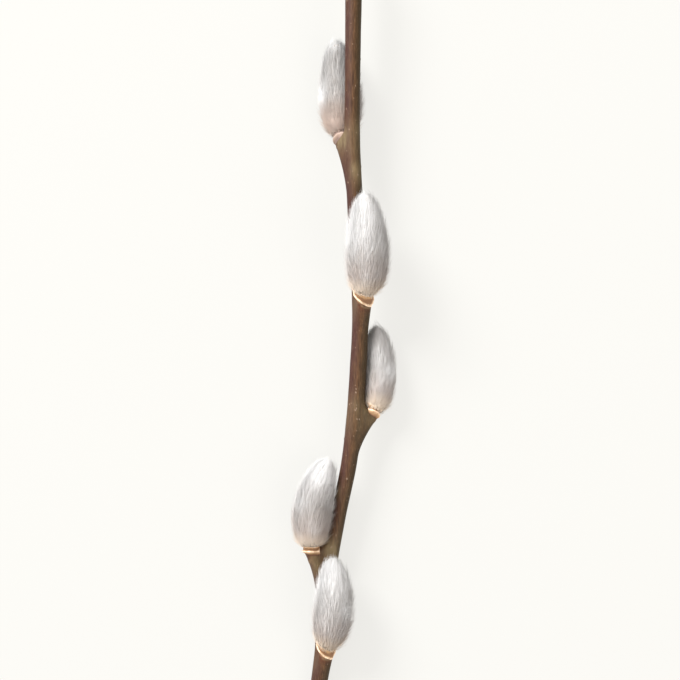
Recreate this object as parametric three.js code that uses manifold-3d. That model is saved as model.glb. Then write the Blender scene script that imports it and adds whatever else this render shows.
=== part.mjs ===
// A willow twig, cut at both ends, with five silky catkins. It lies on a table.
// Units are millimetres. +Y runs up the twig, +X is its right side and +Z points up from the table.
// The origin is on the table, under the middle of the twig.

import * as THREE from 'three';
import { mergeVertices } from 'three/addons/utils/BufferGeometryUtils.js';
import Module from 'manifold-3d';

const wasm = await Module();
wasm.setup();

// Clear space between neighbouring pieces.
const GAP = 0.3;

// Middle line of the stem, from the lower cut to the upper cut, and its radius there.
// It bends a little at each node, and rises because the catkins under it hold it up.
const STEM = [
  { x: -7.7, y: -92.0, z: 1.95, radius: 1.92 },
  { x: -5.9, y: -79.0, z: 2.65, radius: 1.9 },
  { x: -4.95, y: -71.0, z: 3.1, radius: 1.9 },
  { x: -4.6, y: -58.0, z: 3.8, radius: 1.85 },
  { x: -3.3, y: -50.0, z: 4.3, radius: 1.85 },
  { x: -1.15, y: -39.0, z: 5.0, radius: 1.75 },
  { x: 1.0, y: -28.5, z: 5.6, radius: 1.82 },
  { x: 2.25, y: -18.5, z: 6.1, radius: 1.9 },
  { x: 3.1, y: -7.0, z: 6.7, radius: 1.92 },
  { x: 3.6, y: 4.5, z: 7.2, radius: 1.85 },
  { x: 3.3, y: 16.0, z: 7.6, radius: 1.85 },
  { x: 2.5, y: 30.5, z: 8.15, radius: 1.85 },
  { x: 1.8, y: 46.0, z: 8.8, radius: 1.82 },
  { x: 1.85, y: 58.0, z: 9.25, radius: 1.76 },
  { x: 1.95, y: 68.0, z: 9.6, radius: 1.82 },
  { x: 2.1, y: 80.0, z: 10.0, radius: 1.92 },
  { x: 2.2, y: 92.9, z: 10.4, radius: 1.95 },
];
const STEM_SIDES = 16;
const PLAIN_STEP = 2.6; // ring spacing along plain bark
const NODE_STEP = 0.5; // ring spacing where a shoulder ends
const LOWER_CUT_SLANT = 0.85; // rise of the lower cut across the stem, per mm of width
const UPPER_CUT_SLANT = -0.25;
const CUT_REACH = 5.0; // length of stem over which the rings lean into the cut
const RISE_CURVE = 1.7; // above 1, a shoulder swells late, close to its lip
const FALL_CURVE = 1.2;
const FAT_LIFT = NODE_STEP; // how much higher a shoulder ends in the stem's clearance form

// A node is the swollen joint that carries a catkin. Its shoulder grows out of the stem over
// `rise`, is widest at `lip` and falls back over `fall`. `turn` is the side that it faces, in
// degrees from straight up towards the right. `out` is how far the shoulder's middle stands from
// the stem's and `radius` its roundness. The catkin's middle line runs through base, belly and
// tip; `width` is measured around the stem and `depth` away from it. The bud scale's collar sits
// at `seat`, leans out by `lean` degrees and has the given radius.
const NODES = [
  {
    lip: -71.7, turn: 26, out: 1.8, radius: 1.7, rise: 8, fall: 3.2,
    base: [-3.85, -69.9, 5.6], belly: [-2.5, -59.9, 8.75], tip: [-2.75, -49.9, 8.3],
    width: 9.0, depth: 8.6, seat: [-4.1, -70.3, 5.1], lean: 24, collar: 2.35,
  },
  {
    lip: -49.6, turn: 283, out: 4.7, radius: 1.5, rise: 10, fall: 1.6,
    base: [-7.5, -47.4, 5.5], belly: [-6.95, -37.4, 6.5], tip: [-3.55, -27.6, 6.3],
    width: 9.2, depth: 9.2, seat: [-7.6, -48.05, 5.4], lean: -4, collar: 2.05,
  },
  {
    lip: -17.5, turn: 114, out: 3.9, radius: 1.7, rise: 9, fall: 2.4,
    base: [7.0, -16.1, 4.6], belly: [7.85, -6.4, 3.2], tip: [7.35, 3.1, 4.6],
    width: 8.4, depth: 7.7, seat: [6.35, -16.6, 4.7], lean: 10, collar: 1.95,
  },
  {
    lip: 8.6, turn: 28, out: 2.0, radius: 1.8, rise: 8, fall: 3.4,
    base: [4.9, 10.6, 10.2], belly: [5.2, 21.4, 13.1], tip: [4.55, 33.2, 12.6],
    width: 10.1, depth: 9.0, seat: [4.45, 10.2, 9.8], lean: 26, collar: 2.5,
  },
  {
    lip: 45.6, turn: 217, out: 3.6, radius: 1.75, rise: 12, fall: 2.6,
    base: [-0.75, 47.8, 5.7], belly: [-1.0, 58.4, 3.6], tip: [-2.0, 69.9, 5.6],
    width: 10.5, depth: 8.8, seat: [-0.55, 47.0, 6.0], lean: 14, collar: 2.15,
  },
];

// The form of a catkin: plumpest at BELLY_AT of its length, and closed by a blunter curve above.
const BELLY_AT = 0.38;
const BASE_CURVE = 2.25;
const TIP_CURVE = 1.75;
const CORE_FULLNESS = 0.88; // the body under the silk, as a share of the outer form
const CORE_SIDES = 10;
const CORE_RINGS = 8;
const SEAT_FULLNESS = 0.95; // the smooth form that hollows the collar
const SEAT_SIDES = 14;
const SEAT_RINGS = 12;

// The silk, as tufts in rows round the catkin, each from a root sunk in the body to a free point.
const TUFT_ROWS = 6;
const FIRST_ROW = 0.07;
const LAST_ROW = 0.84;
const TUFT_WIDTH = 3.2;
const TUFT_DEPTH = 1.7;
const TUFT_REACH = 0.21; // share of the catkin's length
const ROOT_FULLNESS = 0.7;
const POINT_FULLNESS = 1.0;
const TUFT_OVERLAP = 0.95; // width of a tuft as a share of its part of the row
const ROW_TURN = 0.5; // each row starts half a tuft round from the last
const TUFT_SIDES = 3;

// The collar's outline: radius and height as shares of its radius. Two lips with a groove between.
const COLLAR_PROFILE = [
  [0.0, -0.36], [0.8, -0.36], [0.98, -0.24], [1.02, -0.12], [0.95, 0.0],
  [0.94, 0.06], [0.99, 0.16], [1.0, 0.3], [0.84, 0.4], [0.0, 0.4],
];
const COLLAR_SIDES = 14;

const BARK = { color: 0x705244, roughness: 0.62, metalness: 0 };
const SILK = { color: 0xd6d0cb, roughness: 0.85, metalness: 0 };
const SCALE = { color: 0xc79c70, roughness: 0.7, metalness: 0 };

const degrees = THREE.MathUtils.degToRad;
const smooth = THREE.MathUtils.smoothstep;

// A three.js geometry as a solid, and back.
function toSolid(geometry) {
  const plain = geometry.index ? geometry.toNonIndexed() : geometry.clone();
  for (const name of Object.keys(plain.attributes)) {
    if (name !== 'position') plain.deleteAttribute(name);
  }
  const merged = mergeVertices(plain, 1e-4);
  return new wasm.Manifold(new wasm.Mesh({
    numProp: 3,
    vertProperties: new Float32Array(merged.attributes.position.array),
    triVerts: new Uint32Array(merged.index.array),
  }));
}

function toGeometry(solid) {
  const mesh = solid.getMesh();
  const geometry = new THREE.BufferGeometry();
  geometry.setAttribute('position', new THREE.BufferAttribute(mesh.vertProperties, 3));
  geometry.setIndex(new THREE.BufferAttribute(mesh.triVerts, 1));
  geometry.computeVertexNormals();
  return geometry;
}

// The largest body of a cut solid, so that no loose scrap is left.
function largest(solid) {
  return solid.decompose().reduce((best, body) => (body.volume() > best.volume() ? body : best));
}

// The stem's middle line as a curve, and a ring's frame at a height y on it.
const stemCurve = new THREE.CatmullRomCurve3(STEM.map((p) => new THREE.Vector3(p.x, p.y, p.z)));

function stemAt(y) {
  let low = 0;
  let high = 1;
  for (let i = 0; i < 30; i += 1) {
    const half = (low + high) / 2;
    if (stemCurve.getPoint(half).y < y) low = half;
    else high = half;
  }
  const along = stemCurve.getTangent(low);
  const front = new THREE.Vector3(0, 0, 1).addScaledVector(along, -along.z).normalize();
  const right = new THREE.Vector3().crossVectors(along, front);
  const next = Math.max(1, STEM.findIndex((p) => p.y >= y));
  const share = (y - STEM[next - 1].y) / (STEM[next].y - STEM[next - 1].y);
  const radius = THREE.MathUtils.lerp(STEM[next - 1].radius, STEM[next].radius, smooth(share, 0, 1));
  return { middle: stemCurve.getPoint(low), along, front, right, radius };
}

// The surface point of the stem's section at height y whose outside faces the side `turn`, as
// distances to the right and to the front of its middle line. A shoulder's section is the hull of
// two circles: the stem's and its own, which moves out as the shoulder grows.
function sectionPoint(y, turn, radius, fat) {
  const lift = fat > 0 ? FAT_LIFT : 0;
  let point = [(radius + fat) * Math.sin(turn), (radius + fat) * Math.cos(turn)];
  for (const node of NODES) {
    const below = (y - node.lip + node.rise) / node.rise;
    const above = 1 - (y - node.lip - lift) / node.fall;
    if (below <= 0 || above <= 0) continue;
    const grown = Math.min(below ** RISE_CURVE, above ** FALL_CURVE, 1);
    const offset = node.out * grown;
    const own = THREE.MathUtils.lerp(radius, node.radius, grown);
    const side = degrees(node.turn);
    if (offset * Math.cos(turn - side) + own > radius) {
      point = [
        offset * Math.sin(side) + (own + fat) * Math.sin(turn),
        offset * Math.cos(side) + (own + fat) * Math.cos(turn),
      ];
    }
  }
  return point;
}

// Heights of the stem's rings: wide apart on plain bark, close where a shoulder ends.
function ringHeights() {
  const heights = [STEM[0].y];
  const top = STEM[STEM.length - 1].y;
  while (heights[heights.length - 1] < top - NODE_STEP) {
    const y = heights[heights.length - 1];
    const nearShelf = NODES.some((n) => y > n.lip - 1.2 && y < n.lip + n.fall + 0.4);
    const onShoulder = NODES.some((n) => y > n.lip - n.rise && y <= n.lip - 1.2);
    let step = PLAIN_STEP;
    if (nearShelf) step = NODE_STEP;
    else if (onShoulder) step = 3 * NODE_STEP;
    heights.push(Math.min(y + step, top));
  }
  return heights;
}

// The stem as a cylinder whose rings are moved onto its middle line and out to its shoulders.
// `fat` grows it all round, as the form that its neighbours keep clear of.
function stemGeometry(fat = 0) {
  const heights = ringHeights();
  const first = heights[0];
  const last = heights[heights.length - 1];
  const geometry = new THREE.CylinderGeometry(1, 1, 1, STEM_SIDES, heights.length - 1);
  const position = geometry.attributes.position;
  for (let i = 0; i < position.count; i += 1) {
    const ring = Math.round((position.getY(i) + 0.5) * (heights.length - 1));
    const y = heights[ring];
    const { middle, along, front, right, radius } = stemAt(y);
    const turn = Math.atan2(position.getX(i), position.getZ(i));
    const share = Math.min(1, Math.hypot(position.getX(i), position.getZ(i)));
    const [across, forward] = sectionPoint(y, turn, radius, fat).map((v) => share * v);
    const leanLow = LOWER_CUT_SLANT * (1 - smooth(y - first, 0, CUT_REACH));
    const leanHigh = UPPER_CUT_SLANT * (1 - smooth(last - y, 0, CUT_REACH));
    const point = middle.clone()
      .addScaledVector(right, across)
      .addScaledVector(front, forward)
      .addScaledVector(along, across * (leanLow + leanHigh));
    position.setXYZ(i, point.x, point.y, point.z);
  }
  return geometry;
}

// Half-width of a catkin at share t of its length, from 0 at its base to 1 at its tip.
function catkinProfile(t) {
  const low = t < BELLY_AT;
  const share = low ? (BELLY_AT - t) / BELLY_AT : (t - BELLY_AT) / (1 - BELLY_AT);
  const curve = low ? BASE_CURVE : TIP_CURVE;
  return Math.max(0, 1 - share ** curve) ** (1 / curve);
}

// The catkin's middle line, which passes through its belly point halfway.
function catkinLine(node) {
  const [base, belly, tip] = [node.base, node.belly, node.tip].map((p) => new THREE.Vector3(...p));
  const handle = belly.clone().multiplyScalar(2).addScaledVector(base, -0.5).addScaledVector(tip, -0.5);
  return new THREE.QuadraticBezierCurve3(base, handle, tip);
}

// A point of the catkin's form at share t of its length and `turn` round its middle line, where
// turn 0 faces away from the stem. `grow` moves it out by that many millimetres.
function catkinPoint(node, line, t, turn, fullness, grow = 0) {
  const middle = line.getPoint(t);
  const along = line.getTangent(t);
  const stem = stemAt(middle.y).middle;
  const out = middle.clone().sub(stem);
  out.addScaledVector(along, -out.dot(along)).normalize();
  const side = new THREE.Vector3().crossVectors(along, out);
  const size = fullness * catkinProfile(t);
  const outward = Math.cos(turn) * (0.5 * node.depth * size + grow * catkinProfile(t));
  const sideways = Math.sin(turn) * (0.5 * node.width * size + grow * catkinProfile(t));
  const endways = grow * Math.sqrt(1 - catkinProfile(t) ** 2) * (t < BELLY_AT ? -1 : 1);
  return middle
    .addScaledVector(out, outward)
    .addScaledVector(side, sideways)
    .addScaledVector(along, endways);
}

// The whole form as a sphere whose rows are moved along the middle line.
function catkinForm(node, line, fullness, grow, sides, rings) {
  const geometry = new THREE.SphereGeometry(1, sides, rings);
  const position = geometry.attributes.position;
  for (let i = 0; i < position.count; i += 1) {
    const t = 0.5 + 0.5 * THREE.MathUtils.clamp(position.getY(i), -1, 1);
    const turn = Math.atan2(position.getX(i), position.getZ(i));
    const point = catkinPoint(node, line, t, turn, fullness, grow);
    position.setXYZ(i, point.x, point.y, point.z);
  }
  return geometry;
}

// One tuft of silk: a flat cone from its root to its point, its thin way along the surface normal.
function tuftGeometry(root, point, normal, width) {
  const along = point.clone().sub(root);
  const length = along.length();
  along.normalize();
  const across = new THREE.Vector3().crossVectors(along, normal).normalize();
  const up = new THREE.Vector3().crossVectors(across, along);
  const geometry = new THREE.ConeGeometry(1, 1, TUFT_SIDES);
  const place = new THREE.Matrix4()
    .makeBasis(across, along, up)
    .scale(new THREE.Vector3(width / 2, length, TUFT_DEPTH / 2))
    .setPosition(root.clone().lerp(point, 0.5));
  return geometry.applyMatrix4(place);
}

// A catkin: the body with its rows of tufts, pressed flat where it meets the table or the stem.
function catkinSolid(node, clear) {
  const line = catkinLine(node);
  let solid = toSolid(catkinForm(node, line, CORE_FULLNESS, 0, CORE_SIDES, CORE_RINGS));
  for (let row = 0; row < TUFT_ROWS; row += 1) {
    const t = THREE.MathUtils.lerp(FIRST_ROW, LAST_ROW, row / (TUFT_ROWS - 1));
    const girth = Math.PI * 0.5 * (node.width + node.depth) * catkinProfile(t + TUFT_REACH / 2);
    const count = Math.max(5, Math.round(girth / TUFT_WIDTH));
    const end = Math.min(t + TUFT_REACH, 0.985);
    for (let i = 0; i < count; i += 1) {
      const turn = (2 * Math.PI * (i + ROW_TURN * row)) / count;
      const root = catkinPoint(node, line, t, turn, ROOT_FULLNESS);
      const point = catkinPoint(node, line, end, turn, POINT_FULLNESS);
      const normal = root.clone().sub(line.getPoint(t));
      const width = (TUFT_OVERLAP * girth) / count;
      solid = solid.add(toSolid(tuftGeometry(root, point, normal, width)));
    }
  }
  const table = toSolid(new THREE.BoxGeometry(60, 400, 20).translate(0, 0, -10));
  return largest(solid.subtract(clear).subtract(table));
}

// The torn collar of the bud scale: a low double-lipped cup between the shoulder and the catkin.
function collarSolid(node, clear) {
  const line = catkinLine(node);
  const profile = COLLAR_PROFILE.map(([r, h]) => new THREE.Vector2(r * node.collar, h * node.collar));
  const geometry = new THREE.LatheGeometry(profile, COLLAR_SIDES);
  const seat = new THREE.Vector3(...node.seat);
  const along = line.getTangent(0);
  const out = seat.clone().sub(stemAt(seat.y).middle);
  out.addScaledVector(along, -out.dot(along)).normalize();
  const lean = degrees(node.lean);
  const up = along.clone().multiplyScalar(Math.cos(lean)).addScaledVector(out, Math.sin(lean));
  const side = new THREE.Vector3().crossVectors(up, out).normalize();
  geometry.applyMatrix4(new THREE.Matrix4()
    .makeBasis(side, up, new THREE.Vector3().crossVectors(side, up))
    .setPosition(seat));
  const hollow = toSolid(catkinForm(node, line, SEAT_FULLNESS, GAP, SEAT_SIDES, SEAT_RINGS));
  return largest(toSolid(geometry).subtract(hollow).subtract(clear));
}

function piece(name, geometry, look) {
  const mesh = new THREE.Mesh(geometry, new THREE.MeshStandardMaterial(look));
  mesh.name = name;
  return mesh;
}

const twig = new THREE.Group();
twig.add(piece('stem', stemGeometry(), BARK));
const stemClearance = toSolid(stemGeometry(GAP));
NODES.forEach((node, i) => {
  twig.add(piece(`catkin_${i + 1}`, toGeometry(catkinSolid(node, stemClearance)), SILK));
  twig.add(piece(`bud_scale_${i + 1}`, toGeometry(collarSolid(node, stemClearance)), SCALE));
});

export default twig;
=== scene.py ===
# %% [markdown]
# # A willow twig with five catkins
# The twig lies on a pale floor and the camera looks down on it. Its solids come from the CAD frame,
# which gives every piece its place. Here each solid is replaced by a finer piece of the same form:
# bark with its pores and scars, papery bud scales and silk made of thousands of real hairs.

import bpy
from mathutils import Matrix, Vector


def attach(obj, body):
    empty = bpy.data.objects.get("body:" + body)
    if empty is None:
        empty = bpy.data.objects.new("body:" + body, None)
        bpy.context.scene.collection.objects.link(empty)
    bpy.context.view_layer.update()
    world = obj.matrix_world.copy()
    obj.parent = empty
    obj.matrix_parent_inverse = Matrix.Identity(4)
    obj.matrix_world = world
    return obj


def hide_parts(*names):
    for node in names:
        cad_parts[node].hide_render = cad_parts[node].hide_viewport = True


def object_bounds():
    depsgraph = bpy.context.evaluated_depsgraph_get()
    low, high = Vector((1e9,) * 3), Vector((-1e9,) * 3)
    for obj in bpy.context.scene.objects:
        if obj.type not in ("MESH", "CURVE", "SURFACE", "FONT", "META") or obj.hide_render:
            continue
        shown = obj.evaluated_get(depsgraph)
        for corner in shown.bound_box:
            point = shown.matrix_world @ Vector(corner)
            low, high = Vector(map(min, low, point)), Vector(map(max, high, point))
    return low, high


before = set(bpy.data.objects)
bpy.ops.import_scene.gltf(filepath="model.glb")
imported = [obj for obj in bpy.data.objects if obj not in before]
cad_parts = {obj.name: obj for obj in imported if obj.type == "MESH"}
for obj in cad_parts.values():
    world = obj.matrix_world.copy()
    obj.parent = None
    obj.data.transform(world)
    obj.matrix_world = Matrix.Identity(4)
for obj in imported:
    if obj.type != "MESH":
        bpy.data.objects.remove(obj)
cad_low, cad_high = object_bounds()
print("nodes:", sorted(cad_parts))
print("CAD box in mm:", [round(1000 * v, 1) for v in cad_high - cad_low])

# %% Tools
import math

import bmesh
import bpy
import numpy as np
from mathutils import Matrix, Vector
from mathutils.bvhtree import BVHTree

MM = 0.001  # shapes are worked out in millimetres and stored in metres
TURN = 2 * math.pi


def link(thing):
    """Puts an object into the scene."""
    bpy.context.scene.collection.objects.link(thing)
    return thing


# %% [markdown]
# ## The camera
# The photograph was taken square on to the twig from a few steps away, so its perspective is weak.
# A 100 mm lens at 434 mm sees the same width, 156 mm. The twig rises towards its upper end, where
# the catkins below it hold it up, so the camera leans by the same angle and stays square on to it.

# %% Place the camera
LENS = 100.0
SENSOR = 36.0
VIEW_WIDTH = 156.4
CAMERA_TILT = math.radians(3.3)
TARGET = Vector((-1.035, 0.0, 7.0))
NEAREST_SEEN = 0.01  # in metres

camera = link(bpy.data.objects.new("camera", bpy.data.cameras.new("camera")))
camera.data.lens = LENS
camera.data.sensor_width = SENSOR
distance = VIEW_WIDTH * LENS / SENSOR
back = Vector((0, -math.sin(CAMERA_TILT), math.cos(CAMERA_TILT)))
camera.location = (TARGET + back * distance) * MM
camera.rotation_euler = (CAMERA_TILT, 0, 0)
camera.data.clip_start = NEAREST_SEEN
bpy.context.scene.camera = camera
print("camera distance in mm:", round(distance, 1))

# %% [markdown]
# ## Colours and nodes
# Colours are noted down as sRGB hex values, because that is how they are picked from real things.
# Blender's shaders work with linear light, so one function converts them. A second small function
# adds a shader node with its settings and links. A pattern is then laid on like paint: each coat
# covers where some value, such as a noise or a number kept on the mesh, is high enough.

# %% Colour and node helpers
def linear(hex_colour):
    """An sRGB hex value such as "D6D0CB" as a linear colour with alpha 1."""
    parts = [int(hex_colour[i : i + 2], 16) / 255 for i in (0, 2, 4)]
    return (*[p / 12.92 if p <= 0.04045 else ((p + 0.055) / 1.055) ** 2.4 for p in parts], 1.0)


def add_node(tree, kind, inputs=None, **settings):
    """A new shader node. An input is given a value, or another node's output to be linked to."""
    made = tree.nodes.new("ShaderNode" + kind)
    for key, value in settings.items():
        setattr(made, key, value)
    for key, value in (inputs or {}).items():
        if isinstance(value, bpy.types.NodeSocket):
            tree.links.new(value, made.inputs[key])
        else:
            made.inputs[key].default_value = value
    return made


def new_material(name):
    """A material with its Principled shader and an empty place for its pattern."""
    material = bpy.data.materials.new(name)
    material.use_nodes = True
    return material, material.node_tree, material.node_tree.nodes["Principled BSDF"]


# In Blender's Mix node these are the sockets of the colour version.
MIX_A, MIX_B, MIX_OUT = 6, 7, 2


def coats(tree, tone, *layers):
    """A colour with coats on it. Each coat is its colour and a share(): where it covers."""
    for colour, cover in layers:
        made = add_node(tree, "Mix", {0: share_of(tree, cover), MIX_A: tone, MIX_B: colour}, data_type="RGBA")
        tone = made.outputs[MIX_OUT]
    return tone


def share_of(tree, cover):
    """A socket as it is, or (value, low, high, most): 0 at low, and most at high."""
    if isinstance(cover, bpy.types.NodeSocket):
        return cover
    value, low, high, most = (*cover, 1.0)[:4]
    stretched = {"Value": value, "From Min": low, "From Max": high, "To Max": most}
    return add_node(tree, "MapRange", stretched).outputs[0]


def combine(tree, how, *covers):
    """Several shares added or multiplied into one."""
    so_far = share_of(tree, covers[0])
    for cover in covers[1:]:
        so_far = add_node(tree, "Math", {0: so_far, 1: share_of(tree, cover)}, operation=how).outputs[0]
    return so_far


def kept_on_mesh(tree, name):
    """The four numbers that store() kept on the mesh: three channels and alpha."""
    kept = add_node(tree, "Attribute", attribute_name=name)
    parts = add_node(tree, "SeparateColor", {0: kept.outputs["Color"]}).outputs
    return parts[0], parts[1], parts[2], kept.outputs["Alpha"]


print("sRGB 80 as linear light:", round(linear("808080")[0], 3))

# %% [markdown]
# ## Floor and light
# The photograph is high key: a bright, almost shadowless room with a large soft light from the
# upper left. A big soft box stands there, a weaker one fills the right side, and a pale sky lights
# the rest. The floor is a light table, a sheet of opal acrylic that is lit a little from below. It
# keeps the shadows faint, as they are in the photograph, and sends light up under the silk.

# %% Lay the floor
FLOOR_SIZE = 3.0
floor_shape = bmesh.new()
bmesh.ops.create_grid(floor_shape, x_segments=1, y_segments=1, size=FLOOR_SIZE / 2)
floor_mesh = bpy.data.meshes.new("floor")
floor_shape.to_mesh(floor_mesh)
floor = link(bpy.data.objects.new("floor", floor_mesh))
opal, tree, shader = new_material("opal_acrylic")  # milky and matt, lit from below
shader.inputs["Base Color"].default_value = linear("5D5D5B")
shader.inputs["Roughness"].default_value = 0.95
shader.inputs["Specular IOR Level"].default_value = 0.0
shader.inputs["Emission Color"].default_value = linear("FCFBF7")
shader.inputs["Emission Strength"].default_value = 0.75
floor_mesh.materials.append(opal)

# %% Light it
bpy.context.scene.view_settings.view_transform = "Standard"
sky = bpy.data.worlds.new("sky")
bpy.context.scene.world = sky
sky.use_nodes = True
sky.node_tree.nodes["Background"].inputs["Color"].default_value = linear("FFFDFB")
sky.node_tree.nodes["Background"].inputs["Strength"].default_value = 0.96


def soft_box(name, place, size, watts, hex_colour):
    """A square area light at a place in metres, which looks at the twig."""
    lamp = bpy.data.lights.new(name, "AREA")
    lamp.size, lamp.energy, lamp.color = size, watts, linear(hex_colour)[:3]
    box = link(bpy.data.objects.new(name, lamp))
    box.location = place
    box.rotation_euler = Vector(place).to_track_quat("Z", "Y").to_euler()
    return box


soft_box("key_light", (-0.9, 1.05, 0.9), 0.7, 58.0, "FFFEFD")
soft_box("fill_light", (0.9, -0.6, 1.0), 1.0, 10.0, "FFF4EA")

# %% [markdown]
# ## The stem's form
# A willow shoot isn't straight: at every node it steps a little to the other side. Its middle line
# is a smooth curve through seventeen measured points, and at a node the bark swells into a shoulder
# that carries the bud. The numbers are those of the CAD source, in millimetres, so that the finer
# stem fits the frame. Only fall and web of the second and third node differ: there a web of bark
# fills the fork between stem and catkin, as in the photograph. It stands 0.8 mm proud at most.

# %% Note down the stem
STEM = np.array([  # x, y, z of the middle line and the radius there, from the lower cut up
    (-7.7, -92.0, 1.95, 1.92), (-5.9, -79.0, 2.65, 1.9), (-4.95, -71.0, 3.1, 1.9),
    (-4.6, -58.0, 3.8, 1.85), (-3.3, -50.0, 4.3, 1.85), (-1.15, -39.0, 5.0, 1.75),
    (1.0, -28.5, 5.6, 1.82), (2.25, -18.5, 6.1, 1.9), (3.1, -7.0, 6.7, 1.92),
    (3.6, 4.5, 7.2, 1.85), (3.3, 16.0, 7.6, 1.85), (2.5, 30.5, 8.15, 1.85),
    (1.8, 46.0, 8.8, 1.82), (1.85, 58.0, 9.25, 1.76), (1.95, 68.0, 9.6, 1.82),
    (2.1, 80.0, 10.0, 1.92), (2.2, 92.9, 10.4, 1.95),
])
BOTTOM, TOP = STEM[0, 1], STEM[-1, 1]
LOWER_CUT_SLANT, UPPER_CUT_SLANT, CUT_REACH = 0.85, -0.25, 5.0
RISE_CURVE = 1.7  # above 1, a shoulder swells late, close to its lip

# %% Note down the nodes
# lip: height of the shoulder's edge. turn: the side it faces, in degrees from straight up towards
# the right. out, radius: where the shoulder's own circle stands and its size. rise, fall: its
# lengths below and above the lip. web: the curve by which it falls away above the lip.
# base, belly, tip: the catkin's middle line. width, depth: its size round the stem and away from
# it. seat, lean, collar: place, tilt and radius of the bud scale. rust: how brown the bark is below
# it. hem: the share of the length where the silk begins.
NODES = [
    dict(lip=-71.7, turn=26, out=1.8, radius=1.7, rise=8, fall=3.2, web=1.2, width=9.0, depth=8.6,
         base=(-3.85, -69.9, 5.6), belly=(-2.5, -59.9, 8.75), tip=(-2.75, -49.9, 8.3),
         seat=(-4.1, -70.3, 5.1), lean=24, collar=2.35, rust=1.0, hem=0.0),
    dict(lip=-49.6, turn=283, out=4.7, radius=1.5, rise=10, fall=5.0, web=3.0, width=9.2, depth=9.2,
         base=(-7.5, -47.4, 5.5), belly=(-6.95, -37.4, 6.5), tip=(-3.55, -27.6, 6.3),
         seat=(-7.6, -48.05, 5.4), lean=-4, collar=2.05, rust=0.25, hem=0.03),
    dict(lip=-17.5, turn=114, out=3.9, radius=1.7, rise=9, fall=4.5, web=2.4, width=8.4, depth=7.7,
         base=(7.0, -16.1, 4.6), belly=(7.85, -6.4, 3.2), tip=(7.35, 3.1, 4.6),
         seat=(6.35, -16.6, 4.7), lean=10, collar=1.95, rust=0.2, hem=0.01),
    dict(lip=8.6, turn=28, out=2.0, radius=1.8, rise=8, fall=3.4, web=1.2, width=10.1, depth=9.0,
         base=(4.9, 10.6, 10.2), belly=(5.2, 21.4, 13.1), tip=(4.55, 33.2, 12.6),
         seat=(4.45, 10.2, 9.8), lean=26, collar=2.5, rust=1.0, hem=0.0),
    dict(lip=45.6, turn=217, out=3.6, radius=1.75, rise=12, fall=2.6, web=1.2, width=10.5, depth=8.8,
         base=(-0.75, 47.8, 5.7), belly=(-1.0, 58.4, 3.6), tip=(-2.0, 69.9, 5.6),
         seat=(-0.55, 47.0, 6.0), lean=14, collar=2.15, rust=0.3, hem=0.0),
]


# %% Follow the stem's middle line
def smooth(x):
    """0 below 0, 1 above 1 and a soft step between."""
    x = np.clip(x, 0, 1)
    return x * x * (3 - 2 * x)


steps = np.diff(STEM[:, 1])
chords = np.diff(STEM[:, [0, 2]], axis=0) / steps[:, None]
slopes = np.empty((len(STEM), 2))
slopes[0], slopes[-1] = chords[0], chords[-1]
slopes[1:-1] = (chords[:-1] * steps[1:, None] + chords[1:] * steps[:-1, None]) / (
    steps[:-1] + steps[1:]
)[:, None]


def stem_line(y):
    """x and z of the middle line at heights y, with their slopes, and the plain radius."""
    y = np.clip(np.asarray(y, float), BOTTOM, TOP)
    k = np.clip(np.searchsorted(STEM[:, 1], y, side="right") - 1, 0, len(steps) - 1)
    step = steps[k][:, None]
    s = ((y - STEM[k, 1]) / steps[k])[:, None]
    here, there = STEM[k][:, [0, 2]], STEM[k + 1][:, [0, 2]]
    place = ((1 + 2 * s) * (1 - s) ** 2 * here + s * (1 - s) ** 2 * step * slopes[k]
             + s * s * (3 - 2 * s) * there + s * s * (s - 1) * step * slopes[k + 1])
    slope = (6 * s * (s - 1) * (here - there) / step + (1 - s) * (1 - 3 * s) * slopes[k]
             + s * (3 * s - 2) * slopes[k + 1])
    radius = STEM[k, 3] + (STEM[k + 1, 3] - STEM[k, 3]) * smooth(s[:, 0])
    return place, slope, radius


def unit(v):
    """Vectors of length 1."""
    return v / np.maximum(np.linalg.norm(v, axis=-1, keepdims=True), 1e-9)


def stem_frame(y):
    """The middle line's points at heights y, and the directions along, front and right there."""
    place, slope, radius = stem_line(y)
    middle = np.stack([place[:, 0], np.broadcast_to(y, len(place)), place[:, 1]], 1)
    along = unit(np.stack([slope[:, 0], np.ones(len(place)), slope[:, 1]], 1))
    front = unit(np.array([0.0, 0.0, 1.0]) - along * along[:, 2:])
    return middle, along, front, np.cross(along, front), radius


print("middle line at height 0:", stem_line([0.0])[0].round(2))

# %% [markdown]
# ## A section across the stem
# Cut across at a shoulder, the stem isn't round: it is a drop, the outline of two circles wrapped
# together. The wrap is found for each direction that the surface can face. Points spaced by that
# direction crowd on the round ends and leave the flat flanks empty, so each ring's points are
# spread again at even distances, and the bark has the same fineness everywhere.


# %% Find the stem's section
def section(y, turns, radius):
    """Right and front distances of the surface that faces the sides `turns`, at one height y."""
    across, forward = radius * np.sin(turns), radius * np.cos(turns)
    for node in NODES:
        below = (y - node["lip"] + node["rise"]) / node["rise"]
        above = 1 - (y - node["lip"]) / node["fall"]
        if below <= 0 or above <= 0:
            continue
        grown = min(below**RISE_CURVE, above ** node["web"], 1)
        offset = node["out"] * grown
        own = radius + (node["radius"] - radius) * grown
        side = math.radians(node["turn"])
        outer = offset * np.cos(turns - side) + own > radius
        across = np.where(outer, offset * math.sin(side) + own * np.sin(turns), across)
        forward = np.where(outer, offset * math.cos(side) + own * np.cos(turns), forward)
    return across, forward


def even_ring(y, radius, sides):
    """The section at even distances: across, forward and the side that each point faces."""
    turns = np.linspace(0, TURN, 2 * 360 + 1)
    across, forward = section(y, turns, radius)
    walked = np.concatenate([[0], np.cumsum(np.hypot(np.diff(across), np.diff(forward)))])
    stops = np.arange(sides) / sides * walked[-1]
    return [np.interp(stops, walked, v) for v in (across, forward, turns)]


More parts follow.
